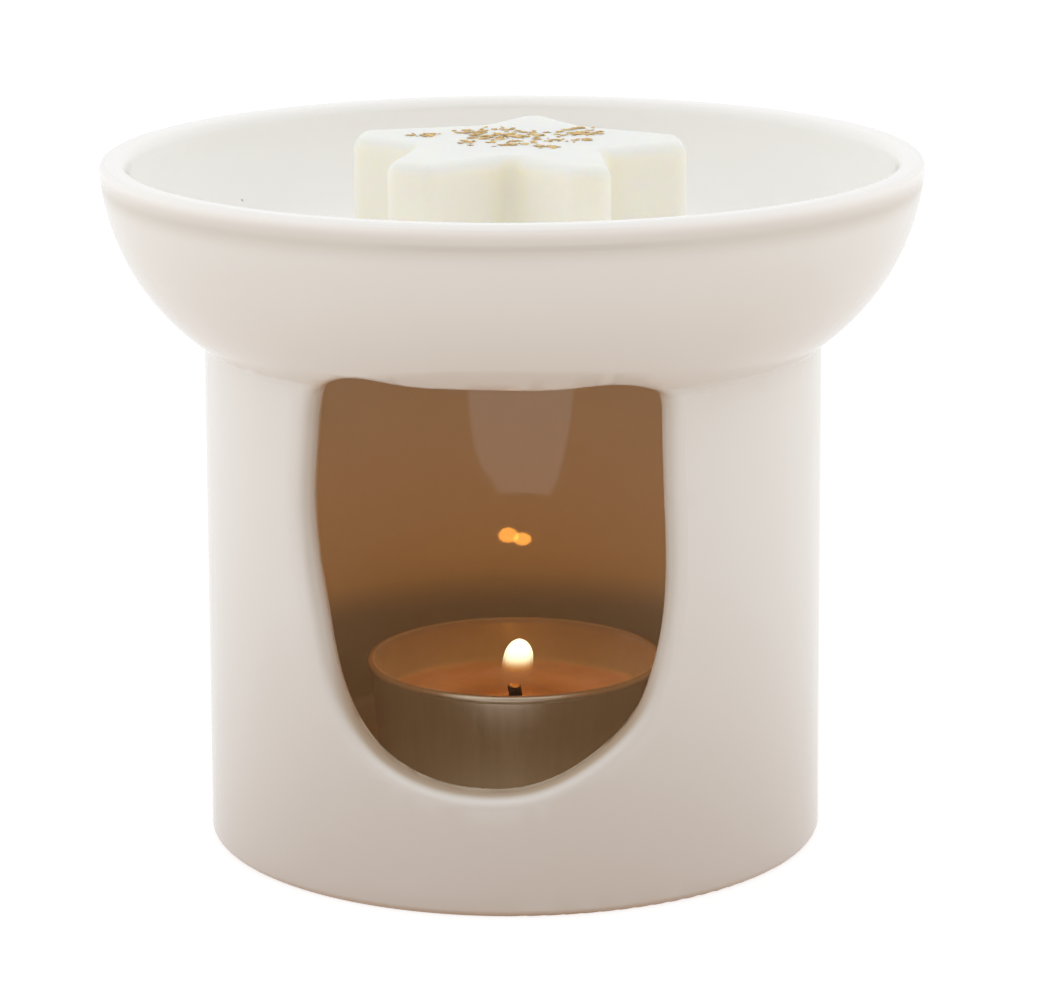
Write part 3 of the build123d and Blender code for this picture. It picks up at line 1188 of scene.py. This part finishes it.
def dress_flame(material):
    """The flame, and the lights that it gives."""
    piece = new_piece("flame", flame_mesh(), material)
    piece.visible_shadow = False
    piece.visible_glossy = False
    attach(piece, "tealight")
    for share, across, part, radius, mirrored in zip(
        light_height_shares, light_places_across, light_power_shares, light_radii, light_mirrored
    ):
        lamp = bpy.data.lights.new("candle_light", "POINT")
        lamp.color = candle_colour
        lamp.energy = candle_power * part
        lamp.shadow_soft_size = radius
        light = bpy.data.objects.new("candle_light", lamp)
        scene.collection.objects.link(light)
        light.location = (across, 0, flame_low + (flame_high - flame_low) * share)
        light.visible_camera = False
        light.visible_glossy = mirrored
        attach(light, "tealight")
    return piece


# Stage


def background_share(tree):
    """1 for what the camera sees directly, mirrored or through glass, and 0 for soft light."""
    rays = add_node(tree, "ShaderNodeLightPath").outputs
    seen = combined(tree, "MAXIMUM", rays["Is Camera Ray"], rays["Is Glossy Ray"])
    return combined(tree, "MAXIMUM", seen, rays["Is Transmission Ray"])


def light_tent():
    """A pale world that lights the object from all sides but the front."""
    world = bpy.data.worlds.new("light_tent")
    scene.world = world
    world.use_nodes = True
    tree = world.node_tree
    tree.nodes.clear()
    way = add_node(tree, "ShaderNodeTexCoord").outputs["Generated"]
    facing = add_node(tree, "ShaderNodeVectorMath", operation="DOT_PRODUCT")
    facing.inputs[1].default_value = Vector(gap_direction).normalized()
    tree.links.new(way, facing.inputs[0])
    inner = math.cos(math.radians(gap_inner_angle))
    outer = math.cos(math.radians(gap_outer_angle))
    gap = ranged(tree, facing.outputs["Value"], outer, inner)
    light = blended(tree, gap, tent_colour, gap_colour)
    rays = add_node(tree, "ShaderNodeLightPath").outputs
    mirrored = combined(tree, "MULTIPLY", gap, rays["Is Glossy Ray"])
    plain = blended(tree, rays["Is Glossy Ray"], tent_colour, (mirrored_level,) * 3 + (1.0,))
    pale = blended(tree, mirrored, plain, gap_colour)
    shown = blended(tree, background_share(tree), light, pale)
    sky = add_node(tree, "ShaderNodeBackground")
    tree.links.new(shown, sky.inputs["Color"])
    seen = combined(tree, "MULTIPLY", background_share(tree), 1 - tent_level)
    tree.links.new(combined(tree, "ADD", seen, tent_level), sky.inputs["Strength"])
    out = add_node(tree, "ShaderNodeOutputWorld")
    tree.links.new(sky.outputs[0], out.inputs["Surface"])


def pale_floor():
    """A pale floor that shows white but keeps the object's faint shadow."""
    half = floor_size / 2
    mesh = bpy.data.meshes.new("floor")
    corners = [(-half, -half, 0), (half, -half, 0), (half, half, 0), (-half, half, 0)]
    mesh.from_pydata(corners, [], [(0, 1, 2, 3)])
    made = bpy.data.materials.new("floor")
    made.use_nodes = True
    tree = made.node_tree
    tree.nodes.clear()
    shade = add_node(tree, "ShaderNodeBsdfDiffuse")
    shade.inputs["Color"].default_value = floor_shade_colour
    white = add_node(tree, "ShaderNodeEmission")
    glossy = add_node(tree, "ShaderNodeLightPath").outputs["Is Glossy Ray"]
    dimmed = combined(tree, "MULTIPLY", glossy, mirrored_level - 1)
    tree.links.new(combined(tree, "ADD", dimmed, floor_white_level), white.inputs["Strength"])
    shown = add_node(tree, "ShaderNodeAddShader")
    tree.links.new(shade.outputs[0], shown.inputs[0])
    tree.links.new(white.outputs[0], shown.inputs[1])
    away = add_node(tree, "ShaderNodeVectorMath", operation="DISTANCE")
    away.inputs[1].default_value = (0.0, table_shade_y, 0.0)
    tree.links.new(object_place(tree), away.inputs[0])
    # Painted shadow: what the floor throws back is darker near the warmer
    far = ranged(tree, away.outputs["Value"], table_near_reach, table_far_reach)
    bounce = add_node(tree, "ShaderNodeEmission")
    tree.links.new(blended(tree, far, table_near_painted_shadow_colour, table_far_colour), bounce.inputs["Color"])
    mix = add_node(tree, "ShaderNodeMixShader")
    tree.links.new(background_share(tree), mix.inputs[0])
    tree.links.new(bounce.outputs[0], mix.inputs[1])
    tree.links.new(shown.outputs[0], mix.inputs[2])
    out = add_node(tree, "ShaderNodeOutputMaterial")
    tree.links.new(mix.outputs[0], out.inputs["Surface"])
    floor = new_piece("floor", mesh, made)


def photo_camera():
    """The camera where the photograph was taken."""
    data = bpy.data.cameras.new("photo_camera")
    data.lens = camera_lens
    data.clip_start = camera_distance / 100
    data.clip_end = camera_distance * 100
    camera = bpy.data.objects.new("photo_camera", data)
    scene.collection.objects.link(camera)
    look = (
        Matrix.Rotation(math.radians(-camera_yaw), 4, "Z")
        @ Matrix.Rotation(math.radians(90 - camera_pitch), 4, "X")
        @ Matrix.Rotation(math.radians(-camera_roll), 4, "Z")
    )
    camera.matrix_world = Matrix.Translation((0, -camera_distance, camera_height)) @ look
    scene.camera = camera


scene.view_settings.view_transform = "Standard"
photo_camera()
light_tent()
pale_floor()
dress_body(glaze_material())
star = dress_melt(melt_material())
dress_leaf(gold_material(), star)
dress_cup(cup_material())
dress_wax(candle_wax_material())
dress_wick(wick_material())
dress_flame(flame_material())
dress_packed("wick_sustainer", steel_material())
